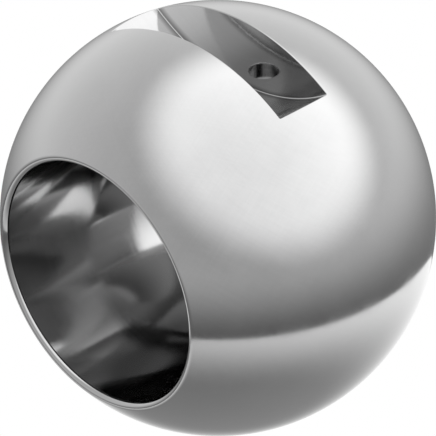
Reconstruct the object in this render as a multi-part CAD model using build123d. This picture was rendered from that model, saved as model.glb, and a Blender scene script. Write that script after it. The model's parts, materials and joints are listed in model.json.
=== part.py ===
from build123d import *
from math import radians, sqrt, tan
import os

# V-port valve ball, one piece of stainless bar, turned, milled and lapped.
# Origin at the centre of the ball. Flow runs along X: the round inlet mouth opens at -X
# and the V port at +X. Z is the stem axis, with the drive slot on top.

# Driving dimensions, in millimetres and degrees

# Turned body
BALL_DIAMETER = 85.0        # sphere that the seats seal on
BORE_DIAMETER = 50.0        # round flow bore, open at the inlet mouth
MOUTH_CHAMFER = 1.35        # leg of the chamfer on the sharp rim between bore and sphere
OUTLET_WALL = 10.0          # wall left between the domed end of the bore and the sphere

# V port, cut through the outlet wall along the flow axis, with its point toward +Y
V_ANGLE = 35.0              # full angle between the two straight sides
V_RIM_LAND = 0.4            # step in from the bore wall to the round side of the port
V_APEX_INSET = 2.3          # from the port's circle in to the point where the sides would meet
V_CORNER_RADIUS = 2.0       # wire radius left in the apex and in the two wide corners
V_EDGE_CHAMFER = 0.3        # leg of the chamfer on the port's edge on the sphere

# Drive slot for the stem, plunged with a disc cutter whose axis lies along the flow
SLOT_WIDTH = 12.6           # thickness of the cutter
CUTTER_DIAMETER = 80.0      # gives the slot its dished floor and its run-out at both ends
SLOT_WEB = 3.0              # metal left between the slot's lowest point and the bore
SLOT_FILLET = 0.4           # corner radius of the cutter, left along the floor
SLOT_EDGE_CHAMFER = 0.2     # leg of the chamfer on the slot's edge on the sphere

# Balance hole from the slot's floor into the bore
BALANCE_HOLE_DIAMETER = 6.0

# Sizes that follow from these

BALL_RADIUS = BALL_DIAMETER / 2
BORE_RADIUS = BORE_DIAMETER / 2
DOME_RADIUS = BALL_RADIUS - OUTLET_WALL
V_PORT_RADIUS = BORE_RADIUS - V_RIM_LAND
MOUTH_X = -sqrt(BALL_RADIUS**2 - BORE_RADIUS**2)
CUTTER_RADIUS = CUTTER_DIAMETER / 2
SLOT_FLOOR_Z = BORE_RADIUS + SLOT_WEB
CUTTER_CENTRE_Z = SLOT_FLOOR_Z + CUTTER_RADIUS

# How close the sampled points of an edge lie to the sphere, for the edge to count as on it
ON_SPHERE_TOLERANCE = 0.001


def turned_body():
    """Ball with its bore, revolved about the flow axis from one half section."""
    side = 2 * BALL_DIAMETER
    bore = Pos(-BALL_RADIUS, 0) * Rectangle(BALL_DIAMETER, BORE_DIAMETER)
    domed_end = Circle(DOME_RADIUS) & Rectangle(side, BORE_DIAMETER)
    section = Circle(BALL_RADIUS) - (bore + domed_end)
    half_section = section & (Pos(0, -side / 2) * Rectangle(side, side))
    rim = half_section.vertices().sort_by_distance((MOUTH_X, -BORE_RADIUS))[0]
    half_section = chamfer(rim, MOUTH_CHAMFER)
    # The section hangs below the flow axis, so the seam of the revolve lies under the ball
    return revolve(Plane.XZ * half_section, Axis.X, 360)


def v_profile():
    """Outline of the V port: a wedge, closed at its wide end by a circle about the flow axis."""
    reach = 2 * BALL_RADIUS
    half_width = reach * tan(radians(V_ANGLE / 2))
    wedge = Polygon((0, 0), (-reach, half_width), (-reach, -half_width), align=None)
    outline = (Pos(V_PORT_RADIUS - V_APEX_INSET, 0) * wedge) & Circle(V_PORT_RADIUS)
    return fillet(outline.vertices(), V_CORNER_RADIUS)


def v_port_tool():
    """The V outline, extruded along the flow from the middle of the ball out past its wall."""
    return extrude(Plane.YZ * v_profile(), BALL_DIAMETER)


def slot_tool():
    """Disc cutter at the bottom of its plunge, with its corner radius."""
    disc = Cylinder(CUTTER_RADIUS, SLOT_WIDTH)
    disc = fillet(disc.edges().filter_by(GeomType.CIRCLE), SLOT_FILLET)
    return Pos(0, 0, CUTTER_CENTRE_Z) * Rot(0, 90, 0) * disc


def balance_hole_tool():
    """Drill on the stem axis, from the middle of the bore up into the slot."""
    depth = SLOT_FLOOR_Z + SLOT_WEB
    return Cylinder(BALANCE_HOLE_DIAMETER / 2, depth, align=(Align.CENTER, Align.CENTER, Align.MIN))


def on_sphere(edge):
    """True for an edge that lies on the outside of the ball along its whole length."""
    samples = [edge.position_at(share / 4) for share in range(5)]
    return all(abs(point.length - BALL_RADIUS) < ON_SPHERE_TOLERANCE for point in samples)


def valve_ball():
    """The finished ball: the turned body, cut by each tool, with the edges on its sphere broken."""
    body = turned_body() - v_port_tool() - slot_tool() - balance_hole_tool()
    v_edges = body.edges().filter_by(on_sphere).filter_by(lambda edge: edge.center().X > BORE_RADIUS)
    body = chamfer(v_edges, V_EDGE_CHAMFER)
    slot_edges = body.edges().filter_by(on_sphere).filter_by(lambda edge: edge.center().Z > SLOT_FLOOR_Z)
    return chamfer(slot_edges, SLOT_EDGE_CHAMFER)


def main():
    os.makedirs("parts", exist_ok=True)
    ball = valve_ball()
    ball.label = "valve_ball"
    export_step(ball, "parts/valve_ball.step")


if __name__ == "__main__":
    main()
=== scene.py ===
import json
import math

import bpy
import numpy as np
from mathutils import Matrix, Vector
from mathutils.geometry import delaunay_2d_cdt
from mathutils.kdtree import KDTree


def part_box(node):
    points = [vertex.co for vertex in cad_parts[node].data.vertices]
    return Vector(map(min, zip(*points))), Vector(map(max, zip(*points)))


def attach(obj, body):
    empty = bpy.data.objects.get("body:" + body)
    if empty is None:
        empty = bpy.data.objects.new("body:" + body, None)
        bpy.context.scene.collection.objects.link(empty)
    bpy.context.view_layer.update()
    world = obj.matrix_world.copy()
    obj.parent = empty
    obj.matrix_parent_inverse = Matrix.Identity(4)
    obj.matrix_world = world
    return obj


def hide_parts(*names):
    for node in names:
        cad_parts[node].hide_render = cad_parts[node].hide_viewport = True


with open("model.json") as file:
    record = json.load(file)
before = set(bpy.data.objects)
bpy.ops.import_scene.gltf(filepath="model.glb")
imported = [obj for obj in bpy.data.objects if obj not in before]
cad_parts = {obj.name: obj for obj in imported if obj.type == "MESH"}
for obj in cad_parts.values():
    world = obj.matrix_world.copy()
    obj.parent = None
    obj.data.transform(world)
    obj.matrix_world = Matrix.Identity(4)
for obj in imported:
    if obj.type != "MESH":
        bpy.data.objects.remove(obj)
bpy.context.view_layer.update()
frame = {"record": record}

bl_info = {
    "name": "V-port valve ball",
    "version": (1, 0, 0),
    "blender": (4, 5, 0),
    "location": "3D View > Sidebar > Valve Ball",
    "description": "Builds a lapped steel V-port valve ball and the studio that it stands in",
    "category": "Add Mesh",
}

NODE = "valve_ball"
MM = 0.001

# Points that round to the same step are one vertex, and flat points this close are one point
WELD = 1e-6
FLAT_WELD = 1e-9

# Least gap between a free point and an edge point, in facets, on cut surfaces and on the sphere
FREE_GAP = 0.5
SPHERE_GAP = 0.55

# Flat steps that stand for each round, and steps down the two cut walls
FILLET_STEPS = 8
MOUTH_STEPS = 8
EDGE_STEPS = 5
PORT_WALL_STEPS = 5
HOLE_WALL_STEPS = 4

# Turn from one point of the spiral over the sphere to the next, and where along X the spiral ends,
# in ball radii. Past that is only the open mouth, where the sphere's flat map runs off without end
SPIRAL_TURN = math.pi * (3 - math.sqrt(5))
SPIRAL_END = -0.9

# Stretch of a noise texture's values that is spread from 0 to 1
NOISE_LOW = 0.3
NOISE_HIGH = 0.7

# How many spacings long a tool mark runs before it changes
MARK_RUN = 30

# Directions straight across the lapping strokes and across the wire's lines
STROKES = ((0.82, 0.50, 0.28), (-0.42, 0.78, 0.46), (0.20, -0.48, 0.85))
WIRE_LINES = (0, 0.9, 0.4)

# Colours of the world: what is seen of it, and its light on everything else
SEEN_WHITE = (1.0, 1.0, 1.0, 1.0)
SOFT_LIGHT = (0.9, 0.9, 0.9, 1.0)

TENT_ROWS = 32
TENT_COLUMNS = 64
FLOOR_SIDES = 256

LOWEST_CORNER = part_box(NODE)[0]
MOUNTS = {mount["name"]: mount for mount in frame["record"]["mounts"]}
BALL_RADIUS = -LOWEST_CORNER.y
BORE_RADIUS = MOUNTS["flow_bore"]["dims"]["r_mm"] * MM
SLOT_FLOOR = MOUNTS["stem_slot"]["pos_m"][2]


# Settings

def length(name, description, default, low=0.0, high=10.0):
    return bpy.props.FloatProperty(name=name, description=description, default=default,
                                   min=low, max=high, precision=5, subtype="DISTANCE", unit="LENGTH")


def angle(name, description, degrees):
    return bpy.props.FloatProperty(name=name, description=description,
                                   default=math.radians(degrees), subtype="ANGLE", unit="ROTATION")


def share(name, description, default):
    return bpy.props.FloatProperty(name=name, description=description, default=default,
                                   min=0.0, max=1.0, precision=3, subtype="FACTOR")


def strength(name, description, default):
    return bpy.props.FloatProperty(name=name, description=description, default=default,
                                   min=0.0, max=10.0, precision=3)


def colour(name, description, default):
    return bpy.props.FloatVectorProperty(name=name, description=description, default=default,
                                         min=0.0, max=1.0, size=3, subtype="COLOR")


class VALVEBALL_PG_body(bpy.types.PropertyGroup):
    """Sizes of the turned ball and its bore"""

    ball_radius: length("Ball radius", "Radius of the sphere that the seats seal on", BALL_RADIUS)
    bore_radius: length("Bore radius", "Radius of the flow bore", BORE_RADIUS)
    dome_radius: length("Dome radius", "Radius of the domed end of the bore, about the ball's centre",
                        32.5 * MM)
    mouth_round: length("Mouth round", "Radius of the polished rim of the inlet mouth", 1.0 * MM)
    hole_radius: length("Balance hole radius", "Radius of the hole from the slot into the bore", 3.0 * MM)
    hole_round: length("Balance hole round", "Radius of the broken edge of the hole in the slot", 0.1 * MM)
    facet: length("Facet", "Spacing of the points on the open surfaces", 1.0 * MM)
    edge_step: length("Edge step", "Spacing of the points along the edges", 0.5 * MM)


class VALVEBALL_PG_port(bpy.types.PropertyGroup):
    """Sizes of the V port in the outlet wall"""

    full_angle: angle("V angle", "Full angle between the two straight sides", 35.0)
    apex_y: length("Apex", "From the flow axis to the point where the sides would meet", 22.3 * MM)
    port_radius: length("Port radius", "Radius of the round side of the V port", 24.98 * MM)
    corner_radius: length("Corner radius", "Wire radius in the three corners of the V", 2.0 * MM)
    edge_round: length("Edge round", "Radius of the broken edge of the port on the sphere", 0.35 * MM)


class VALVEBALL_PG_slot(bpy.types.PropertyGroup):
    """Sizes of the drive slot"""

    width: length("Slot width", "Width of the slot, which is the thickness of its cutter", 12.6 * MM)
    floor: length("Slot floor", "Height of the slot's lowest point over the ball's centre", SLOT_FLOOR)
    cutter_radius: length("Cutter radius", "Radius of the disc cutter that dishes the floor", 40.0 * MM)
    fillet: length("Floor fillet", "Corner radius that the cutter leaves along the floor", 0.17 * MM)
    edge_round: length("Edge round", "Radius of the broken edge of the slot on the sphere", 0.2 * MM)


class VALVEBALL_PG_finish(bpy.types.PropertyGroup):
    """Colour, gloss and tool marks of the steel"""

    steel: colour("Steel", "Colour of the steel seen straight on", (0.35, 0.35, 0.351))
    steel_edge_on: colour("Steel edge on", "Colour of the steel seen edge on", (0.84, 0.84, 0.84))
    # Painted shade: the slot's floor is darkened along its side walls, where shade falls in the corners
    painted_corner_shade: share("Corner shade", "Share of the floor's colour left along its side walls", 0.26)
    painted_corner_reach: length("Corner reach", "How far that shade reaches in from the side walls", 1.5 * MM)
    middle_shade: share("Middle shade", "Share of the floor's colour left in its middle", 0.84)
    middle_reach: length("Middle reach", "How far that shade reaches along the slot", 14.0 * MM)
    ends_reach: length("Ends reach", "Where along the slot the floor has all its colour again", 22.0 * MM)
    colour_spread: share("Colour spread", "Change of the colour over the marks and smears", 0.05)
    gloss_spread: share("Gloss spread", "Change of the roughness over the marks and smears", 0.35)
    smear: length("Smear size", "Size of the soft patches that polishing leaves", 8.0 * MM)
    lapped_roughness: share("Lapped roughness", "Roughness of the lapped sphere", 0.12)
    lapped_spacing: length("Lapped spacing", "Spacing of the strokes on the lapped sphere", 0.35 * MM)
    lapped_tilt: angle("Lapped tilt", "How far the lapping strokes tilt the surface", 0.10)
    edge_roughness: share("Edge roughness", "Roughness of the polished edges", 0.09)
    bore_roughness: share("Bore roughness", "Roughness of the honed bore", 0.09)
    bore_spacing: length("Bore spacing", "Spacing of the turning marks in the bore", 0.30 * MM)
    bore_tilt: angle("Bore tilt", "How far the turning marks tilt the surface", 0.12)
    slot_roughness: share("Slot roughness", "Roughness of the slot's side walls", 0.07)
    floor_roughness: share("Floor roughness", "Roughness of the slot's dished floor", 0.13)
    slot_spacing: length("Slot spacing", "Spacing of the cutter marks in the slot", 0.40 * MM)
    slot_tilt: angle("Slot tilt", "How far the cutter marks tilt the surface", 0.04)
    wire_roughness: share("Wire-cut roughness", "Roughness of the wire-cut walls of the port", 0.34)
    wire_spacing: length("Wire-cut spacing", "Spacing of the lines that the wire leaves", 0.20 * MM)
    wire_tilt: angle("Wire-cut tilt", "How far the wire's lines tilt the surface", 1.5)
    drill_roughness: share("Drilled roughness", "Roughness of the balance hole", 0.22)
    drill_spacing: length("Drilled spacing", "Spacing of the rings that the drill leaves", 0.25 * MM)
    drill_tilt: angle("Drilled tilt", "How far the drill's rings tilt the surface", 0.3)


class VALVEBALL_PG_studio(bpy.types.PropertyGroup):
    """Camera, tent and floor of the studio"""

    azimuth: angle("Camera azimuth", "Direction of the camera round the stem axis", -45.0)
    elevation: angle("Camera elevation", "Height of the camera over the horizon", 32.4)
    distance: length("Camera distance", "Distance of the camera from the ball's centre", 1.0668)
    lens: bpy.props.FloatProperty(name="Lens", description="Focal length of the camera",
                                  default=452.0, min=10.0, max=1000.0, subtype="DISTANCE_CAMERA")
    tent_radius: length("Tent radius", "Radius of the soft tent round the ball", 3.0)
    floor_drop: length("Floor drop", "Depth of the floor under the ball's centre", 1.5)
    floor_edge: angle("Floor edge", "Angle under the horizon at which the ball sees the floor end", 33.8)
    # The floor's glow is painted light: a painted shadow of the ball under it, and one side brighter
    floor_under_painted_shadow: strength("Floor under the ball", "Strength of the floor straight under the ball", 0.335)
    floor_open: strength("Open floor", "Strength of the floor out in the open", 1.308)
    floor_shadow: angle("Floor shadow", "Angle from straight down where the ball's own shade begins", 22.6)
    floor_clear: angle("Floor clear", "Angle from straight down where that shade would end", 62.0)
    floor_painted_bright_side: angle("Floor turn", "Brightest side of the floor, from the camera to its right", 75.0)
    floor_side: share("Floor side", "Strength of the other side of the floor, as a share", 0.76)
    wall_foot: strength("Wall foot", "Strength of the tent's wall down at the floor", 0.165)
    wall_top: strength("Wall top", "Strength of the tent's wall from the horizon up", 0.819)
    wall_dark: angle("Wall dark", "Angle under the horizon down to which the wall darkens", 38.0)
    wall_pale: angle("Wall pale", "Angle over the horizon at which the wall is fully lit", 4.0)
    light: strength("Overhead light", "Strength of the overhead light", 2.02)
    light_tilt: angle("Light tilt", "Tilt of the overhead light from straight up", 26.6)
    light_turn: angle("Light turn", "Direction of that tilt, from the camera to its right", 60.4)
    light_size: angle("Light size", "Half angle of the overhead light", 52.4)
    light_blur: angle("Light blur", "Width of the soft edge of the light", 28.4)
    reflections: bpy.props.IntProperty(name="Reflections", default=5, min=1, max=32,
                                       description="How many times light is followed from wall to wall")


# Mesh tools: a patch is (points, normals, triangles, finish)

def unit(vectors):
    """The vectors, scaled to a length of 1."""
    return vectors / np.linalg.norm(vectors, axis=-1, keepdims=True)


def inside(points, loops):
    """True for each flat point that lies inside the first loop and outside the others."""
    crossings = np.zeros(len(points), int)
    for loop in loops:
        for (ax, ay), (bx, by) in zip(loop, np.roll(loop, -1, axis=0)):
            if ay == by:
                continue
            spans = (points[:, 1] >= min(ay, by)) & (points[:, 1] < max(ay, by))
            crossings += spans & (points[:, 0] < ax + (points[:, 1] - ay) * (bx - ax) / (by - ay))
    return crossings % 2 == 1


def clear_of(points, edge_points, gap):
    """True for each point that keeps the gap to every edge point."""
    tree = KDTree(len(edge_points))
    for index, point in enumerate(edge_points):
        tree.insert(point, index)
    tree.balance()
    return np.array([tree.find(point)[2] > gap for point in points], bool)


def filled_patch(loops, spread, lift, normal_at, gap, finish):
    """Triangles between flat loops, through the spread points, lifted onto the real surface."""
    edge_points = np.vstack([lift(loop) for loop in loops])
    spread = spread[inside(spread, loops)]
    spread = spread[clear_of(lift(spread), edge_points, gap)]
    flat = np.vstack([*loops, spread])
    edges = []
    start = 0
    for loop in loops:
        count = len(loop)
        edges += [(start + i, start + (i + 1) % count) for i in range(count)]
        start += count
    _, _, faces, origins, _, _ = delaunay_2d_cdt([Vector(p) for p in flat], edges, [], 0, FLAT_WELD)
    triangles = np.array([[origins[i][0] for i in face] for face in faces])
    triangles = triangles[inside(flat[triangles].mean(axis=1), loops)]
    points = lift(flat)
    return points, normal_at(points), triangles, finish


def grid_patch(points, normals, finish, closed):
    """Triangles of a grid of points, rows by columns. Closed joins its last row to its first."""
    rows, columns = points.shape[:2]
    index = np.arange(rows * columns).reshape(rows, columns)
    if closed:
        index = np.vstack([index, index[:1]])
    a, b = index[:-1, :-1].ravel(), index[:-1, 1:].ravel()
    c, d = index[1:, 1:].ravel(), index[1:, :-1].ravel()
    triangles = np.vstack([np.stack([a, b, c], 1), np.stack([a, c, d], 1)])
    return points.reshape(-1, 3), normals.reshape(-1, 3), triangles, finish


def round_patch(centres, first, last, radius, steps, finish):
    """A rounded edge: a ball of that radius rolls along the centres and turns from normal to normal."""
    turn = np.arccos(np.clip((first * last).sum(axis=1), -1, 1))[:, None, None]
    share_along = np.linspace(0, 1, steps + 1)[None, :, None]
    near, far = first[:, None, :], last[:, None, :]
    normals = (near * np.sin((1 - share_along) * turn) + far * np.sin(share_along * turn)) / np.sin(turn)
    return grid_patch(centres[:, None, :] + radius * normals, normals, finish, closed=True)


def welded_mesh(name, patches, finishes):
    """One mesh from all patches. Each corner keeps the normal of the true surface."""
    points, normals, triangles, zones = [], [], [], []
    start = 0
    for patch_points, patch_normals, patch_triangles, finish in patches:
        points.append(patch_points)
        normals.append(patch_normals)
        triangles.append(patch_triangles + start)
        zones.append(np.full(len(patch_triangles), finishes.index(finish)))
        start += len(patch_points)
    points, normals = np.vstack(points), np.vstack(normals)
    triangles, zones = np.vstack(triangles), np.concatenate(zones)
    corners = points[triangles]
    facing = np.cross(corners[:, 1] - corners[:, 0], corners[:, 2] - corners[:, 0])
    backward = (facing * normals[triangles].mean(axis=1)).sum(axis=1) < 0
    triangles[backward] = triangles[backward][:, ::-1]
    _, kept, welded = np.unique(np.round(points / WELD).astype(np.int64), axis=0,
                                return_index=True, return_inverse=True)
    mesh = bpy.data.meshes.new(name)
    mesh.from_pydata(points[kept].tolist(), [], welded.reshape(-1)[triangles].tolist())
    mesh.polygons.foreach_set("material_index", zones.astype(np.int32))
    mesh.polygons.foreach_set("use_smooth", np.ones(len(triangles), bool))
    mesh.update()
    mesh.normals_split_custom_set(normals[triangles].reshape(-1, 3).tolist())
    if mesh.validate():
        raise RuntimeError(f"{name}: the mesh had faults")
    return mesh


# The ball, in metres: X is the flow axis with the mouth at -X, Z is the stem axis

def ring_angles(radius, step):
    """Even angles round a circle, one for each step along it."""
    return np.linspace(-math.pi, math.pi, math.ceil(2 * math.pi * radius / step), endpoint=False)


def round_the_flow(x, radius, angles):
    """Points on a circle about the X axis. Angle 0 is up."""
    x = np.broadcast_to(x, angles.shape)
    return np.stack([x, radius * np.sin(angles), radius * np.cos(angles)], axis=-1)


def mouth_edge(body):
    """Centres of the rolling ball at the inlet mouth, its two contact normals and its angles."""
    radius = body.bore_radius + body.mouth_round
    x = -math.sqrt((body.ball_radius - body.mouth_round) ** 2 - radius**2)
    angles = ring_angles(body.bore_radius, body.edge_step)
    centres = round_the_flow(x, radius, angles)
    return centres, unit(centres), -round_the_flow(0, 1, angles), angles


def arc(centre, radius, start, stop, step):
    """Points and normals of a flat arc, without its last point."""
    count = max(2, math.ceil(abs(stop - start) * radius / step))
    angles = np.linspace(start, stop, count, endpoint=False)
    normals = np.stack([np.cos(angles), np.sin(angles)], axis=-1)
    return centre + radius * normals, normals


def line(start, stop, normal, step):
    """Points and normals of a straight side, without its last point."""
    count = max(2, math.ceil(np.linalg.norm(stop - start) / step))
    shares = np.linspace(0, 1, count, endpoint=False)[:, None]
    return start + shares * (stop - start), np.repeat(normal[None], count, axis=0)


def v_outline(port, step):
    """Outline of the V port in Y and Z, with its outward normals, once round from its point at +Y."""
    half = port.full_angle / 2
    corner = port.corner_radius
    apex = np.array([port.apex_y, 0.0])
    along = np.array([-math.cos(half), math.sin(half)])
    upper = np.array([math.sin(half), math.cos(half)])
    lower = upper * (1, -1)
    tip = apex - np.array([corner / math.sin(half), 0.0])
    start = apex - corner * upper
    middle = start @ along
    reach = -middle + math.sqrt(middle**2 - start @ start + (port.port_radius - corner) ** 2)
    top = start + reach * along
    bottom = top * (1, -1)
    wide = math.atan2(top[1], top[0])
    side = math.pi / 2 - half
    fine = step / 2
    parts = [
        arc(tip, corner, -side, side, fine),
        line(tip + corner * upper, top + corner * upper, upper, step),
        arc(top, corner, side, wide, fine),
        arc(np.zeros(2), port.port_radius, wide, 2 * math.pi - wide, step),
        arc(bottom, corner, -wide, -side, fine),
        line(bottom + corner * lower, tip + corner * lower, lower, step),
    ]
    return np.vstack([part[0] for part in parts]), np.vstack([part[1] for part in parts])


def v_edge(body, port):
    """Centres of the rolling ball at the V port's edge, its contact normals and the flat outline."""
    outline, outward = v_outline(port, body.edge_step)
    offset = outline + port.edge_round * outward
    x = np.sqrt((body.ball_radius - port.edge_round) ** 2 - (offset**2).sum(axis=1))
    centres = np.column_stack([x, offset])
    walls = np.column_stack([np.zeros(len(outward)), -outward])
    return centres, unit(centres), walls, outline


def cutter_axis(slot):
    """Height of the disc cutter's axis over the ball's centre."""
    return slot.floor + slot.cutter_radius


def half_turned(points):
    """The points turned half round the stem axis."""
    return points * (-1, -1, 1)


def slot_edge(body, slot):
    """The rolling ball along the slot's side at +X and its end at +Y: centres and normals to the slot.
    The other half of the slot is this one, half turned."""
    edge, fillet = slot.edge_round, slot.fillet
    half_width = slot.width / 2
    axis_z = cutter_axis(slot)
    reach = body.ball_radius - edge
    bends = np.linspace(0, math.pi / 2, FILLET_STEPS + 1)
    corner_x = half_width - fillet + (fillet + edge) * np.cos(bends)
    corner_d = slot.cutter_radius - fillet + (fillet + edge) * np.sin(bends)
    across = np.linspace(half_width - fillet, fillet - half_width,
                         math.ceil(slot.width / body.facet) + 1)[1:-1]
    x = np.concatenate([corner_x, across, -corner_x[::-1]])
    distance = np.concatenate([corner_d, np.full(len(across), slot.cutter_radius + edge), corner_d[::-1]])
    squared = reach**2 - x**2
    z = (squared - distance**2 + axis_z**2) / (2 * axis_z)
    y = np.sqrt(squared - z**2)
    end = np.stack([x, y, z], axis=-1)
    outward = unit(end * (0, 1, 1) - (0, 0, axis_z))
    tilt = np.concatenate([np.cos(bends), np.zeros(len(across)), -np.cos(bends[::-1])])
    lean = np.concatenate([np.sin(bends), np.ones(len(across)), np.sin(bends[::-1])])
    end_normals = -(tilt[:, None] * np.array([1.0, 0, 0]) + lean[:, None] * outward)
    circle = math.sqrt(squared[0])
    limit = math.asin(y[0] / circle)
    turns = np.linspace(-limit, limit, math.ceil(2 * limit * circle / body.edge_step), endpoint=False)
    side = np.stack([np.full(len(turns), x[0]), circle * np.sin(turns), circle * np.cos(turns)], axis=-1)
    side_normals = np.tile([-1.0, 0.0, 0.0], (len(turns), 1))
    return side, side_normals, end, end_normals


def hole_plan(body):
    """Unit circle about the stem axis, with a point for each facet round the balance hole."""
    angles = ring_angles(body.hole_radius, body.edge_step / 2)
    return np.stack([np.cos(angles), np.sin(angles)], axis=-1)


def hole_edge(body, slot):
    """Centres of the rolling ball at the hole's edge in the slot's floor, and its contact normals."""
    plan = hole_plan(body)
    x, y = (plan * (body.hole_radius + body.hole_round)).T
    depth = np.sqrt((slot.cutter_radius + body.hole_round) ** 2 - y**2)
    centres = np.column_stack([x, y, cutter_axis(slot) - depth])
    upward = unit(np.column_stack([0 * x, -y, depth]))
    return centres, upward, np.column_stack([-plan, 0 * x])


# The surfaces between those edges

def flat_on_sphere(points):
    """Stereographic map of directions, seen from the mouth's side."""
    directions = unit(points)
    return directions[:, 1:] / (1 + directions[:, :1])


def lifted_to_sphere(radius):
    """The way back from that map, onto a sphere of the radius."""
    def lift(flat):
        squared = (flat**2).sum(axis=1, keepdims=True)
        return radius * np.hstack([1 - squared, 2 * flat]) / (1 + squared)
    return lift


def sphere_patch(body, loops):
    """The lapped sphere between the mouth, the V port and the slot, from points along a spiral."""
    count = int(4 * math.pi * (body.ball_radius / body.facet) ** 2)
    index = np.arange(count)
    x = 1 - (2 * index + 1) / count
    turn = index * SPIRAL_TURN
    ring = np.sqrt(1 - x**2)
    spread = np.stack([x, ring * np.cos(turn), ring * np.sin(turn)], axis=-1)
    spread = spread[x > SPIRAL_END]
    return filled_patch([flat_on_sphere(loop) for loop in loops], flat_on_sphere(spread),
                        lifted_to_sphere(body.ball_radius), unit, SPHERE_GAP * body.facet, "lapped")


def even_grid(low, high, steps):
    """Flat points, evenly spaced both ways from the low corner to the high one."""
    u = np.linspace(low[0], high[0], steps[0] + 1)
    v = np.linspace(low[1], high[1], steps[1] + 1)
    return np.stack(np.meshgrid(u, v), axis=-1).reshape(-1, 2)


def bore_patch(body, start_x, end_x, angles):
    """The bore's wall, unrolled with its seam under the flow axis and the balance hole left out."""
    radius = body.bore_radius
    rim = np.append(angles, math.pi) * radius
    lengthwise = np.linspace(start_x, end_x, math.ceil((end_x - start_x) / body.facet) + 1)
    outer = np.vstack([
        np.stack([rim, np.full(len(rim), start_x)], 1)[:-1],
        np.stack([np.full(len(lengthwise), rim[-1]), lengthwise], 1)[:-1],
        np.stack([rim[::-1], np.full(len(rim), end_x)], 1)[:-1],
        np.stack([np.full(len(lengthwise), rim[0]), lengthwise[::-1]], 1)[:-1],
    ])
    plan = hole_plan(body) * body.hole_radius
    hole = np.stack([radius * np.arcsin(plan[:, 1] / radius), plan[:, 0]], axis=-1)
    spread = even_grid((rim[0], start_x), (rim[-1], end_x),
                       (len(angles) // 2, len(lengthwise) - 1))

    def lift(flat):
        turn = flat[:, 0] / radius
        return np.stack([flat[:, 1], radius * np.sin(turn), radius * np.cos(turn)], axis=-1)

    def toward_flow(points):
        return -unit(points * (0, 1, 1))

    return filled_patch([outer, hole], spread, lift, toward_flow, FREE_GAP * body.facet, "bore")


def dome_x(body, flat):
    """Where each flat point lies along the flow, on the dome."""
    return np.sqrt(body.dome_radius**2 - (flat**2).sum(axis=1))


def dome_patch(body, angles, outline):
    """The domed end of the bore, with the V port left out."""
    rim = round_the_flow(0, body.bore_radius, angles)[:, 1:]
    reach = body.bore_radius
    steps = math.ceil(2 * reach / body.facet)
    spread = even_grid((-reach, -reach), (reach, reach), (steps, steps))

    def lift(flat):
        return np.column_stack([dome_x(body, flat), flat])

    def toward_centre(points):
        return -unit(points)

    return filled_patch([rim, outline], spread, lift, toward_centre, FREE_GAP * body.facet, "bore")


def v_wall_patch(body, edge_points, walls, outline):
    """The wire-cut wall of the V port, from its broken edge in to the dome."""
    rows = PORT_WALL_STEPS + 1
    shares = np.linspace(0, 1, rows)[None, :]
    x = edge_points[:, :1] * (1 - shares) + dome_x(body, outline)[:, None] * shares
    points = np.concatenate([x[..., None], np.repeat(outline[:, None, :], rows, axis=1)], axis=2)
    normals = np.repeat(walls[:, None, :], rows, axis=1)
    return grid_patch(points, normals, "wire_cut", closed=True)


def floor_limits(slot, end_edge):
    """Turn about the cutter's axis at which each point of the slot's end lies."""
    return np.arctan2(end_edge[:, 1], cutter_axis(slot) - end_edge[:, 2])


def lengthwise_shares(body, slot, limit):
    """Even shares from one end of the slot's floor to the other, for a point at each edge step."""
    count = math.ceil(2 * limit * slot.cutter_radius / body.edge_step)
    return np.linspace(-1, 1, count + 1)


def slot_fillet(body, slot, end_edge):
    """Points and outward normals of the fillet at +X. Each row runs from the wall down to the floor."""
    small = slot.cutter_radius - slot.fillet
    limits = floor_limits(slot, end_edge)[:FILLET_STEPS + 1]
    turn = lengthwise_shares(body, slot, limits[-1])[:, None] * limits[None, :]
    bend = np.broadcast_to(np.linspace(0, math.pi / 2, FILLET_STEPS + 1)[None, :], turn.shape)
    outward = np.stack([np.cos(bend), np.sin(bend) * np.sin(turn), -np.sin(bend) * np.cos(turn)], axis=-1)
    ring = np.stack([np.full(turn.shape, slot.width / 2 - slot.fillet), small * np.sin(turn),
                     cutter_axis(slot) - small * np.cos(turn)], axis=-1)
    return ring + slot.fillet * outward, outward


def slot_wall_patch(body, slot, side_edge, end_edge, fillet_points):
    """The flat side wall at +X, from the slot's edge on the sphere down to the fillet."""
    low_edge = fillet_points[1:-1, 0]
    top_edge = np.vstack([side_edge, end_edge[:1]])
    outer = np.vstack([top_edge, low_edge[::-1]])[:, 1:]
    reach = body.ball_radius
    steps = math.ceil(2 * reach / body.facet)
    spread = even_grid((-reach, 0), (reach, reach), (steps, steps // 2))

    def lift(flat):
        return np.column_stack([np.full(len(flat), slot.width / 2), flat])

    def inward(points):
        return np.tile([-1.0, 0.0, 0.0], (len(points), 1))

    return filled_patch([outer], spread, lift, inward, FREE_GAP * body.facet, "slot")


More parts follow.
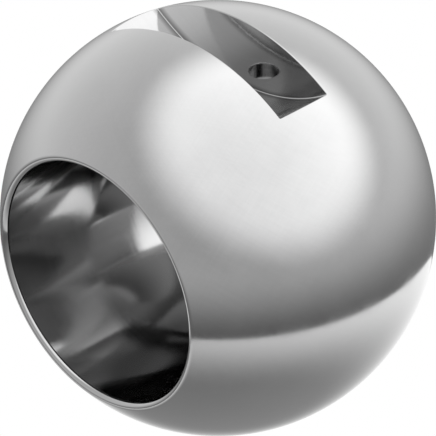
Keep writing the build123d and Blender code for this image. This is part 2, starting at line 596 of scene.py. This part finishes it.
def slot_floor_patch(body, slot, end_edge):
    """The dished floor between the fillets, unrolled, with the balance hole left out."""
    radius = slot.cutter_radius
    limits = floor_limits(slot, end_edge)
    limit = limits[FILLET_STEPS]
    across = slice(FILLET_STEPS, len(end_edge) - FILLET_STEPS)
    far_end = np.stack([limits[across] * radius, end_edge[across, 0]], 1)
    shares = lengthwise_shares(body, slot, limit)
    side = np.stack([shares * limit * radius, np.full(len(shares), slot.width / 2 - slot.fillet)], 1)
    outer = np.vstack([side[:-1], far_end[:-1], -side[:-1], -far_end[:-1]])
    hole_centres, upward, _ = hole_edge(body, slot)
    rim = hole_centres + body.hole_round * upward
    hole = np.stack([radius * np.arcsin(rim[:, 1] / radius), rim[:, 0]], axis=-1)
    high = np.array([limits.max() * radius, slot.width / 2])
    spread = even_grid(-high, high, np.ceil(2 * high / body.facet).astype(int))

    def lift(flat):
        turn = flat[:, 0] / radius
        return np.stack([flat[:, 1], radius * np.sin(turn), cutter_axis(slot) - radius * np.cos(turn)],
                        axis=-1)

    def toward_axis(points):
        return unit((0, 0, cutter_axis(slot)) - points * (0, 1, 1))

    return filled_patch([outer, hole], spread, lift, toward_axis, FREE_GAP * body.facet, "slot_floor")


def balance_hole_patches(body, slot):
    """The broken edge of the balance hole, and its wall down into the bore."""
    centres, upward, inward = hole_edge(body, slot)
    plan = hole_plan(body) * body.hole_radius
    bottom = np.sqrt(body.bore_radius**2 - plan[:, 1] ** 2)
    rows = HOLE_WALL_STEPS + 1
    shares = np.linspace(0, 1, rows)[None, :]
    z = centres[:, 2:] * (1 - shares) + bottom[:, None] * shares
    points = np.concatenate([np.repeat(plan[:, None, :], rows, axis=1), z[..., None]], axis=2)
    normals = np.repeat(inward[:, None, :], rows, axis=1)
    return [
        round_patch(centres, upward, inward, body.hole_round, EDGE_STEPS, "drilled"),
        grid_patch(points, normals, "drilled", closed=True),
    ]


def slot_patches(body, slot, side_edge, end_edge):
    """Two side walls, two fillets, the dished floor and the balance hole."""
    fillet_points, outward = slot_fillet(body, slot, end_edge)
    half = [
        slot_wall_patch(body, slot, side_edge, end_edge, fillet_points),
        grid_patch(fillet_points, -outward, "edge", closed=False),
    ]
    patches = []
    for points, normals, triangles, finish in half:
        patches.append((points, normals, triangles, finish))
        patches.append((half_turned(points), half_turned(normals), triangles, finish))
    return [*patches, slot_floor_patch(body, slot, end_edge), *balance_hole_patches(body, slot)]


def ball_patches(body, port, slot):
    """All the ball's surfaces: its edges first, and then what lies between them."""
    mouth_centres, mouth_sphere, mouth_wall, angles = mouth_edge(body)
    v_centres, v_sphere, v_walls, outline = v_edge(body, port)
    side, side_normals, end, end_normals = slot_edge(body, slot)
    half_centres = np.vstack([side, end[:-1]])
    half_normals = np.vstack([side_normals, end_normals[:-1]])
    slot_centres = np.vstack([half_centres, half_turned(half_centres)])
    slot_walls = np.vstack([half_normals, half_turned(half_normals)])
    loops = [
        mouth_centres + body.mouth_round * mouth_sphere,
        v_centres + port.edge_round * v_sphere,
        slot_centres + slot.edge_round * unit(slot_centres),
    ]
    bore_end = math.sqrt(body.dome_radius**2 - body.bore_radius**2)
    return [
        sphere_patch(body, loops),
        round_patch(mouth_centres, mouth_sphere, mouth_wall, body.mouth_round, MOUTH_STEPS, "edge"),
        round_patch(v_centres, v_sphere, v_walls, port.edge_round, EDGE_STEPS, "edge"),
        round_patch(slot_centres, unit(slot_centres), slot_walls, slot.edge_round, EDGE_STEPS, "edge"),
        bore_patch(body, mouth_centres[0, 0], bore_end, angles),
        dome_patch(body, angles, outline),
        v_wall_patch(body, v_centres + port.edge_round * v_walls, v_walls, outline),
        *slot_patches(body, slot, side + slot.edge_round * side_normals,
                      end + slot.edge_round * end_normals),
    ]


# Node tools

def add_node(tree, kind, inputs=None, **settings):
    """New node with its settings, and its inputs set to constants."""
    node = tree.nodes.new(kind)
    for name, value in settings.items():
        setattr(node, name, value)
    for name, value in (inputs or {}).items():
        node.inputs[name].default_value = value
    return node


def feed(tree, socket, value):
    """Links the socket to another one, or sets it to a constant."""
    if isinstance(value, bpy.types.NodeSocket):
        tree.links.new(value, socket)
    else:
        socket.default_value = value


def math_node(tree, operation, *values):
    """Result of a Math node on values that are constants or sockets."""
    node = add_node(tree, "ShaderNodeMath", operation=operation)
    for socket, value in zip(node.inputs, values):
        feed(tree, socket, value)
    return node.outputs[0]


def vector_node(tree, operation, *values):
    """Result of a Vector Math node on values that are constants or sockets."""
    node = add_node(tree, "ShaderNodeVectorMath", operation=operation)
    for socket, value in zip(node.inputs, values):
        feed(tree, socket, value)
    return node.outputs["Value" if operation in ("DOT_PRODUCT", "LENGTH") else "Vector"]


def reach_along(tree, vector, way):
    """How far the vector reaches along a direction."""
    return vector_node(tree, "DOT_PRODUCT", vector, way)


def ranged(tree, value, low, high, to_low=0.0, to_high=1.0, shape="SMOOTHSTEP"):
    """The value, mapped from one range to another and held at both ends."""
    node = add_node(tree, "ShaderNodeMapRange", interpolation_type=shape,
                    inputs={"From Min": low, "From Max": high, "To Min": to_low, "To Max": to_high})
    feed(tree, node.inputs["Value"], value)
    return node.outputs["Result"]


def mixed_colour(tree, amount, first, second):
    """Colour between two others. A Mix node has its colour sockets at these places."""
    amount_place, first_place, second_place, result_place = 0, 6, 7, 2
    node = add_node(tree, "ShaderNodeMix", data_type="RGBA")
    feed(tree, node.inputs[amount_place], amount)
    feed(tree, node.inputs[first_place], first)
    feed(tree, node.inputs[second_place], second)
    return node.outputs[result_place]


# Steel

def new_group(name, inputs, outputs):
    """Empty node group with its sockets. Gives the tree, its group input and its group output."""
    tree = bpy.data.node_groups.new(name, "ShaderNodeTree")
    for way, sockets in (("INPUT", inputs), ("OUTPUT", outputs)):
        for socket, kind in sockets.items():
            tree.interface.new_socket(socket, in_out=way, socket_type="NodeSocket" + kind)
    return tree, add_node(tree, "NodeGroupInput").outputs, add_node(tree, "NodeGroupOutput").inputs


def tool_marks_group():
    """Fine lines side by side, from 0 in a groove to 1 on a ridge, that fade and swell on their way."""
    tree, given, result = new_group(
        "Tool marks",
        {"Position": "Vector", "Across": "Float", "Spacing": "Float", "Run": "Float"},
        {"Marks": "Float"})
    noise = add_node(tree, "ShaderNodeTexNoise", noise_dimensions="4D",
                     inputs={"Scale": 1.0, "Detail": 3.0, "Roughness": 0.6})
    feed(tree, noise.inputs["W"], math_node(tree, "DIVIDE", given["Across"], given["Spacing"]))
    feed(tree, noise.inputs["Vector"], vector_node(tree, "DIVIDE", given["Position"], given["Run"]))
    feed(tree, result["Marks"], ranged(tree, noise.outputs[0], NOISE_LOW, NOISE_HIGH))
    return tree


def steel_finish_group():
    """Colour, roughness and height of machined steel, from its tool marks and soft polishing smears."""
    tree, given, result = new_group(
        "Steel finish",
        {"Position": "Vector", "Marks": "Float", "Smear": "Float", "Colour": "Color",
         "Colour Spread": "Float", "Roughness": "Float", "Roughness Spread": "Float"},
        {"Colour": "Color", "Roughness": "Float", "Height": "Float"})
    noise = add_node(tree, "ShaderNodeTexNoise", inputs={"Scale": 1.0, "Detail": 4.0, "Roughness": 0.55})
    feed(tree, noise.inputs["Vector"], vector_node(tree, "DIVIDE", given["Position"], given["Smear"]))
    smear = ranged(tree, noise.outputs[0], NOISE_LOW, NOISE_HIGH)
    both = math_node(tree, "SUBTRACT", math_node(tree, "ADD", smear, given["Marks"]), 1.0)
    duller = math_node(tree, "MULTIPLY_ADD", both, given["Roughness Spread"], 1.0)
    darker = math_node(tree, "MULTIPLY_ADD", both, given["Colour Spread"], 1.0)
    feed(tree, result["Colour"], vector_node(tree, "MULTIPLY", given["Colour"], darker))
    feed(tree, result["Roughness"], math_node(tree, "MULTIPLY", given["Roughness"], duller))
    feed(tree, result["Height"], given["Marks"])
    return tree


def steel_material(name, groups, finish, roughness, spacing, tilt, lays):
    """Polished steel with tool marks. A lay is the direction straight across its marks, a centre that
    they turn round, and a mask of the directions square to their axis, all 0 for straight marks."""
    material = bpy.data.materials.new(name)
    material.use_nodes = True
    tree = material.node_tree
    shader = tree.nodes["Principled BSDF"]
    shader.inputs["Metallic"].default_value = 1.0
    position = add_node(tree, "ShaderNodeTexCoord").outputs["Object"]
    marks = 0.0
    for straight, centre, mask in lays:
        square = vector_node(tree, "MULTIPLY", vector_node(tree, "SUBTRACT", position, centre), mask)
        across = math_node(tree, "ADD", reach_along(tree, position, straight),
                           vector_node(tree, "LENGTH", square))
        node = add_node(tree, "ShaderNodeGroup", node_tree=groups["marks"],
                        inputs={"Spacing": spacing, "Run": MARK_RUN * spacing})
        feed(tree, node.inputs["Position"], position)
        feed(tree, node.inputs["Across"], across)
        marks = math_node(tree, "MULTIPLY_ADD", node.outputs["Marks"], 1 / len(lays), marks)
    steel = add_node(tree, "ShaderNodeGroup", node_tree=groups["finish"],
                     inputs={"Colour": (*finish.steel, 1.0), "Colour Spread": finish.colour_spread,
                             "Roughness": roughness, "Roughness Spread": finish.gloss_spread,
                             "Smear": finish.smear})
    feed(tree, steel.inputs["Position"], position)
    feed(tree, steel.inputs["Marks"], marks)
    bump = add_node(tree, "ShaderNodeBump", inputs={"Strength": 1.0, "Distance": spacing * math.tan(tilt)})
    feed(tree, bump.inputs["Height"], steel.outputs["Height"])
    facing = add_node(tree, "ShaderNodeLayerWeight", inputs={"Blend": 0.5})
    tint = mixed_colour(tree, facing.outputs["Facing"], steel.outputs["Colour"],
                        (*finish.steel_edge_on, 1.0))
    feed(tree, shader.inputs["Base Color"], tint)
    feed(tree, shader.inputs["Roughness"], steel.outputs["Roughness"])
    feed(tree, shader.inputs["Normal"], bump.outputs["Normal"])
    return material


def darken_floor_with_painted_corner_shade(material, finish, slot):
    """Darkens the floor's colour: painted shade along its side walls, and darker in its middle."""
    tree = material.node_tree
    colour_in = tree.nodes["Principled BSDF"].inputs["Base Color"]
    from_middle = vector_node(tree, "ABSOLUTE", add_node(tree, "ShaderNodeTexCoord").outputs["Object"])
    aside = reach_along(tree, from_middle, (1, 0, 0))
    along = reach_along(tree, from_middle, (0, 1, 0))
    wall = slot.width / 2
    # Painted shade in the corners along the side walls
    corners = ranged(tree, aside, wall - finish.painted_corner_reach, wall, 1.0, finish.painted_corner_shade, "LINEAR")
    middle = ranged(tree, along, finish.middle_reach, finish.ends_reach, finish.middle_shade, 1.0, "LINEAR")
    shade = math_node(tree, "MULTIPLY", corners, middle)
    feed(tree, colour_in, vector_node(tree, "MULTIPLY", colour_in.links[0].from_socket, shade))


def ball_materials(finish, slot):
    """Each finish of the ball, with the lay of its tool marks."""
    groups = {"marks": tool_marks_group(), "finish": steel_finish_group()}
    centre = (0, 0, 0)
    no_turn = (0, 0, 0)
    strokes = [(across, centre, no_turn) for across in STROKES]
    turned = [((-1, 0, 0), centre, (0, 1, 1))]
    milled = [((1, 0, 0), (0, 0, cutter_axis(slot)), (0, 1, 1))]
    wired = [(WIRE_LINES, centre, no_turn)]
    drilled = [((0, 0, 1), centre, (1, 1, 0))]
    looks = {
        "lapped": (finish.lapped_roughness, finish.lapped_spacing, finish.lapped_tilt, strokes),
        "edge": (finish.edge_roughness, finish.lapped_spacing, finish.lapped_tilt, strokes),
        "bore": (finish.bore_roughness, finish.bore_spacing, finish.bore_tilt, turned),
        "slot": (finish.slot_roughness, finish.slot_spacing, finish.slot_tilt, milled),
        "slot_floor": (finish.floor_roughness, finish.slot_spacing, finish.slot_tilt, milled),
        "wire_cut": (finish.wire_roughness, finish.wire_spacing, finish.wire_tilt, wired),
        "drilled": (finish.drill_roughness, finish.drill_spacing, finish.drill_tilt, drilled),
    }
    materials = {name: steel_material(name + "_steel", groups, finish, *look)
                 for name, look in looks.items()}
    darken_floor_with_painted_corner_shade(materials["slot_floor"], finish, slot)
    return materials


# Studio

def direction(azimuth, elevation):
    """Unit vector. Azimuth 0 is -Y and 90 is +X, as in the camera's own settings."""
    level = math.cos(elevation)
    return Vector((math.sin(azimuth) * level, -math.cos(azimuth) * level, math.sin(elevation)))


def set_world():
    """White to camera, glossy and transmission rays alike, and a plain soft light to all others."""
    world = bpy.data.worlds.new("studio_white")
    world.use_nodes = True
    tree = world.node_tree
    path = add_node(tree, "ShaderNodeLightPath")
    seen = math_node(tree, "MAXIMUM", path.outputs["Is Camera Ray"], path.outputs["Is Glossy Ray"])
    seen = math_node(tree, "MAXIMUM", seen, path.outputs["Is Transmission Ray"])
    tint = mixed_colour(tree, seen, SOFT_LIGHT, SEEN_WHITE)
    feed(tree, tree.nodes["Background"].inputs["Color"], tint)
    bpy.context.scene.world = world


def set_camera(studio):
    """Long lens, aimed at the ball's centre."""
    data = bpy.data.cameras.new("studio_camera")
    data.lens = studio.lens
    camera = bpy.data.objects.new("studio_camera", data)
    back = direction(studio.azimuth, studio.elevation)
    camera.location = back * studio.distance
    camera.rotation_euler = (-back).to_track_quat("-Z", "Y").to_euler()
    bpy.context.scene.collection.objects.link(camera)
    bpy.context.scene.camera = camera


def stage_object(name, points, faces, material):
    """Part of the studio that glows onto the steel, and that the camera doesn't see."""
    mesh = bpy.data.meshes.new(name)
    mesh.from_pydata(points, [], faces)
    mesh.materials.append(material)
    thing = bpy.data.objects.new(name, mesh)
    bpy.context.scene.collection.objects.link(thing)
    thing.visible_camera = False
    thing.visible_shadow = False


def glow_material(name):
    """Glowing material, its node tree, and the socket for the strength of its glow."""
    material = bpy.data.materials.new(name)
    material.use_nodes = True
    tree = material.node_tree
    tree.nodes.clear()
    output = add_node(tree, "ShaderNodeOutputMaterial")
    glow = add_node(tree, "ShaderNodeEmission")
    feed(tree, output.inputs["Surface"], glow.outputs[0])
    material.cycles.emission_sampling = "NONE"
    return material, tree, glow.inputs["Strength"]


def ray_from_ball(tree):
    """Unit direction from the ball's centre to the shaded point, and its height."""
    ray = vector_node(tree, "NORMALIZE", add_node(tree, "ShaderNodeTexCoord").outputs["Object"])
    return ray, reach_along(tree, ray, (0, 0, 1))


def set_tent(studio):
    """Soft grey tent with a wide light overhead. It only shows in the steel."""
    material, tree, glow = glow_material("tent_cloth")
    ray, height = ray_from_ball(tree)
    wall = ranged(tree, height, -math.sin(studio.wall_dark), math.sin(studio.wall_pale),
                  studio.wall_foot, studio.wall_top)
    centre = direction(studio.azimuth + studio.light_turn, math.pi / 2 - studio.light_tilt)
    size, blur = studio.light_size, studio.light_blur / 2
    mask = ranged(tree, reach_along(tree, ray, centre), math.cos(size + blur), math.cos(size - blur))
    mix = add_node(tree, "ShaderNodeMix")
    for socket, value in zip(("Factor", "A", "B"), (mask, wall, studio.light)):
        feed(tree, mix.inputs[socket], value)
    feed(tree, glow, mix.outputs["Result"])
    azimuths = [2 * math.pi * column / TENT_COLUMNS for column in range(TENT_COLUMNS)]
    elevations = [math.pi * (row / TENT_ROWS - 0.5) for row in range(TENT_ROWS + 1)]
    points = [tuple(direction(azimuth, elevation) * studio.tent_radius)
              for elevation in elevations for azimuth in azimuths]
    faces = []
    for row in range(TENT_ROWS):
        for column in range(TENT_COLUMNS):
            low, high = row * TENT_COLUMNS, (row + 1) * TENT_COLUMNS
            beside = (column + 1) % TENT_COLUMNS
            faces.append((low + column, low + beside, high + beside, high + column))
    stage_object("studio_tent", points, faces, material)


def set_floor(studio):
    """Round pale floor that glows with painted light, brighter to one side, and a painted shadow of the
    ball.
    Its edge is the line across the lower part of the ball.
    """
    material, tree, glow = glow_material("floor_pale")
    ray, height = ray_from_ball(tree)
    # Painted shadow of the ball, darkest straight under it
    level = ranged(tree, height, -math.cos(studio.floor_shadow), -math.cos(studio.floor_clear),
                   studio.floor_under_painted_shadow, studio.floor_open)
    # Painted light: one side of the floor glows brighter than the other
    brightest = direction(studio.azimuth + studio.floor_painted_bright_side, 0)
    side = ranged(tree, reach_along(tree, ray, brightest), -1.0, 1.0, studio.floor_side, 1.0)
    feed(tree, glow, math_node(tree, "MULTIPLY", level, side))
    radius = studio.floor_drop / math.tan(studio.floor_edge)
    turns = [2 * math.pi * index / FLOOR_SIDES for index in range(FLOOR_SIDES)]
    points = [(radius * math.cos(turn), radius * math.sin(turn), -studio.floor_drop) for turn in turns]
    stage_object("studio_floor", points, [tuple(range(FLOOR_SIDES))], material)


# Operators and panel

class VALVEBALL_OT_ball(bpy.types.Operator):
    """Builds the valve ball from its sizes and gives each machined surface its finish"""

    bl_idname = "mesh.valve_ball_add"
    bl_label = "Add valve ball"

    def execute(self, context):
        settings = context.scene.valve_ball
        materials = ball_materials(settings.finish, settings.slot)
        patches = ball_patches(settings.body, settings.port, settings.slot)
        mesh = welded_mesh("lapped_ball", patches, list(materials))
        for material in materials.values():
            mesh.materials.append(material)
        ball = bpy.data.objects.new("lapped_ball", mesh)
        context.scene.collection.objects.link(ball)
        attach(ball, "root")
        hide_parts(NODE)
        return {"FINISHED"}


class VALVEBALL_OT_stage(bpy.types.Operator):
    """Sets up the white world, the soft tent, the pale floor and the camera"""

    bl_idname = "scene.valve_ball_stage"
    bl_label = "Set up studio"

    def execute(self, context):
        studio = context.scene.valve_ball.studio
        context.scene.view_settings.view_transform = "Standard"
        context.scene.cycles.glossy_bounces = studio.reflections
        context.scene.cycles.min_light_bounces = studio.reflections
        set_world()
        set_tent(studio)
        set_floor(studio)
        set_camera(studio)
        return {"FINISHED"}


def settings_of(kind, name, description):
    return bpy.props.PointerProperty(type=kind, name=name, description=description)


class VALVEBALL_PG_all(bpy.types.PropertyGroup):
    """All settings of the valve ball and its studio"""

    body: settings_of(VALVEBALL_PG_body, "Body", "Turned ball and bore")
    port: settings_of(VALVEBALL_PG_port, "V port", "Port in the outlet wall")
    slot: settings_of(VALVEBALL_PG_slot, "Slot", "Drive slot for the stem")
    finish: settings_of(VALVEBALL_PG_finish, "Finish", "Colour, gloss and tool marks")
    studio: settings_of(VALVEBALL_PG_studio, "Studio", "Camera, tent and floor")


class VALVEBALL_PT_panel(bpy.types.Panel):
    """Lists the operators and their settings"""

    bl_idname = "VALVEBALL_PT_panel"
    bl_label = "Valve Ball"
    bl_space_type = "VIEW_3D"
    bl_region_type = "UI"
    bl_category = "Valve Ball"

    def draw(self, context):
        settings = context.scene.valve_ball
        groups = {
            VALVEBALL_OT_ball: (settings.body, settings.port, settings.slot, settings.finish),
            VALVEBALL_OT_stage: (settings.studio,),
        }
        for operator, parts in groups.items():
            box = self.layout.box()
            box.operator(operator.bl_idname)
            for part in parts:
                for name in part.__annotations__:
                    box.prop(part, name)


CLASSES = (
    VALVEBALL_PG_body,
    VALVEBALL_PG_port,
    VALVEBALL_PG_slot,
    VALVEBALL_PG_finish,
    VALVEBALL_PG_studio,
    VALVEBALL_PG_all,
    VALVEBALL_OT_ball,
    VALVEBALL_OT_stage,
    VALVEBALL_PT_panel,
)


def register():
    for cls in CLASSES:
        bpy.utils.register_class(cls)
    bpy.types.Scene.valve_ball = bpy.props.PointerProperty(type=VALVEBALL_PG_all)


def unregister():
    del bpy.types.Scene.valve_ball
    for cls in reversed(CLASSES):
        bpy.utils.unregister_class(cls)


def main():
    """Builds the ball and its studio."""
    register()
    bpy.ops.mesh.valve_ball_add()
    bpy.ops.scene.valve_ball_stage()


if __name__ == "__main__":
    main()
